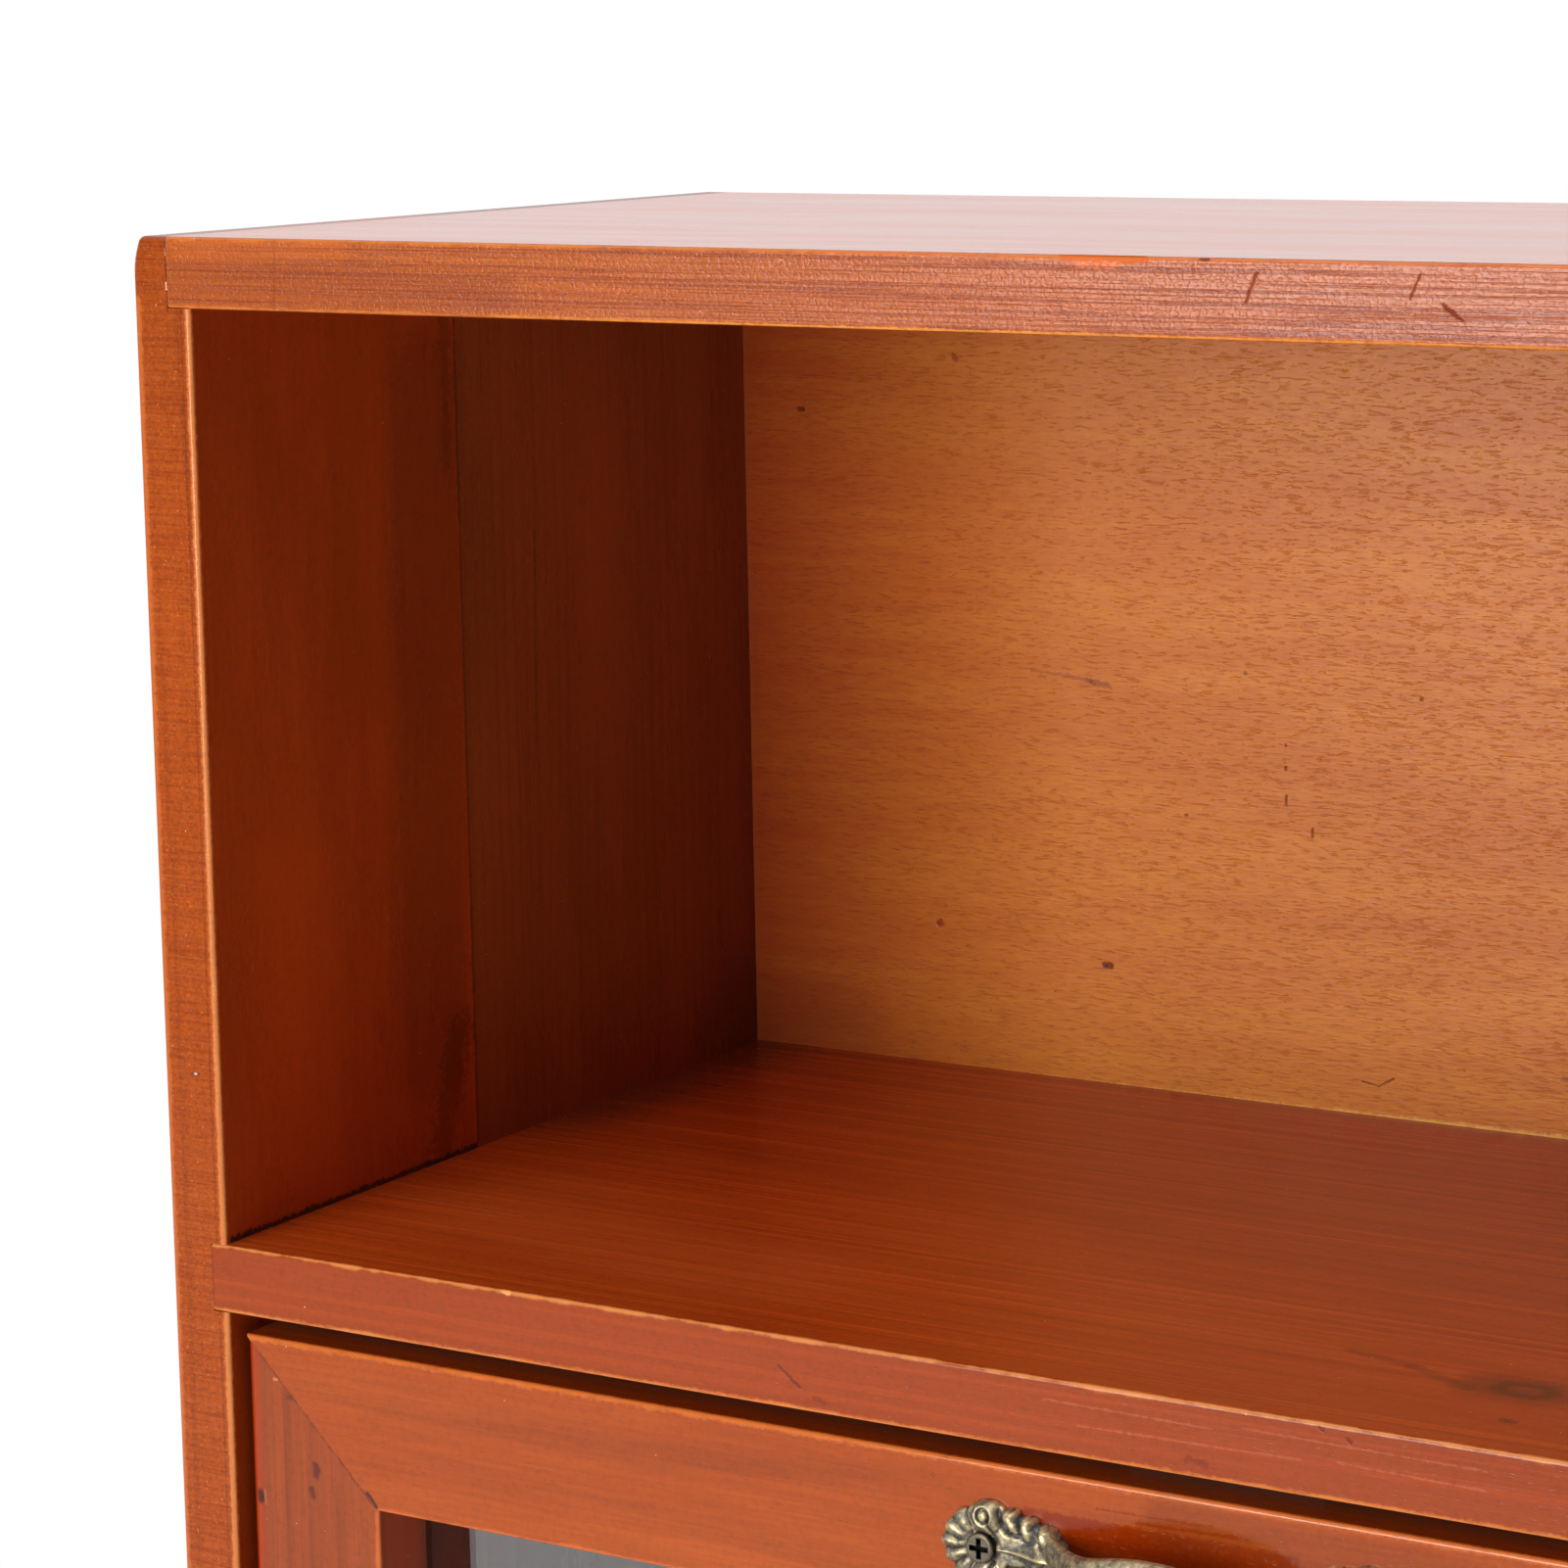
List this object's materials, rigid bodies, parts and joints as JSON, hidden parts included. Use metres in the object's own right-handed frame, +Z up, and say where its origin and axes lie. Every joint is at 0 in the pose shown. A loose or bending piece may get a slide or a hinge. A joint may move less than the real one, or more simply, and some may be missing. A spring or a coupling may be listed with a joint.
{
  "type": "desktop cabinet",
  "caption": "Small stained-wood desktop cabinet: an open bay over stacked glazed doors that drop forward on bottom hinges, with bronze bow handles.",
  "frame": {"origin": "middle of the underside of the bottom board, on the surface the cabinet stands on", "axes": "+Z up, -Y towards the front with the doors, +X to the right of someone facing the doors"},
  "size_m": [0.39, 0.1818, 0.5],
  "materials": {
    "stained_pine": "red-brown stain under satin lacquer, edges rubbed lighter",
    "plywood": "stained thin plywood",
    "glass": "clear float glass",
    "antique_bronze": "antique bronze plating, ridges rubbed bright",
    "dark_steel": "blackened steel",
    "zinc_steel": "zinc-plated steel",
    "hinge_brass": "brass plating",
    "catch_plastic": "moulded brown plastic",
    "magnet": "sintered ferrite"
  },
  "bodies": {
    "cabinet": {"back_nails": "zinc_steel", "back_panel": "plywood", "bottom_board": "stained_pine", "lower_catch_housing": "catch_plastic", "lower_catch_magnet": "magnet", "lower_catch_poles": "zinc_steel", "lower_catch_screws": "zinc_steel", "lower_hinge_fixed_screws": "hinge_brass", "lower_hinge_left_fixed_leaf": "hinge_brass", "lower_hinge_pins": "hinge_brass", "lower_hinge_right_fixed_leaf": "hinge_brass", "middle_shelf": "stained_pine", "open_bay_shelf": "stained_pine", "side_brads": "zinc_steel", "side_left_front_board": "stained_pine", "side_left_rear_board": "stained_pine", "side_right_front_board": "stained_pine", "side_right_rear_board": "stained_pine", "top_board": "stained_pine", "upper_catch_housing": "catch_plastic", "upper_catch_magnet": "magnet", "upper_catch_poles": "zinc_steel", "upper_catch_screws": "zinc_steel", "upper_hinge_fixed_screws": "hinge_brass", "upper_hinge_left_fixed_leaf": "hinge_brass", "upper_hinge_pins": "hinge_brass", "upper_hinge_right_fixed_leaf": "hinge_brass"},
    "lower_door": {"lower_door_brads": "zinc_steel", "lower_door_button_screws": "zinc_steel", "lower_door_handle": "antique_bronze", "lower_door_handle_screws": "dark_steel", "lower_door_pane": "glass", "lower_door_rail_bottom": "stained_pine", "lower_door_rail_top": "stained_pine", "lower_door_stile_left": "stained_pine", "lower_door_stile_right": "stained_pine", "lower_door_turn_buttons": "zinc_steel", "lower_hinge_door_screws": "hinge_brass", "lower_hinge_left_door_leaf": "hinge_brass", "lower_hinge_right_door_leaf": "hinge_brass", "lower_strike_plate": "zinc_steel", "lower_strike_screw": "zinc_steel"},
    "upper_door": {"upper_door_brads": "zinc_steel", "upper_door_button_screws": "zinc_steel", "upper_door_handle": "antique_bronze", "upper_door_handle_screws": "dark_steel", "upper_door_pane": "glass", "upper_door_rail_bottom": "stained_pine", "upper_door_rail_top": "stained_pine", "upper_door_stile_left": "stained_pine", "upper_door_stile_right": "stained_pine", "upper_door_turn_buttons": "zinc_steel", "upper_hinge_door_screws": "hinge_brass", "upper_hinge_left_door_leaf": "hinge_brass", "upper_hinge_right_door_leaf": "hinge_brass", "upper_strike_plate": "zinc_steel", "upper_strike_screw": "zinc_steel"}
  },
  "joints": [
    {"name": "lower_door_drop", "type": "hinge", "parent": "cabinet", "child": "lower_door", "pos_m": [0, -0.083, 0.0132], "axis": [1, 0, 0], "range_deg": [0, 90]},
    {"name": "upper_door_drop", "type": "hinge", "parent": "cabinet", "child": "upper_door", "pos_m": [0, -0.083, 0.1707], "axis": [1, 0, 0], "range_deg": [0, 90]}
  ]
}
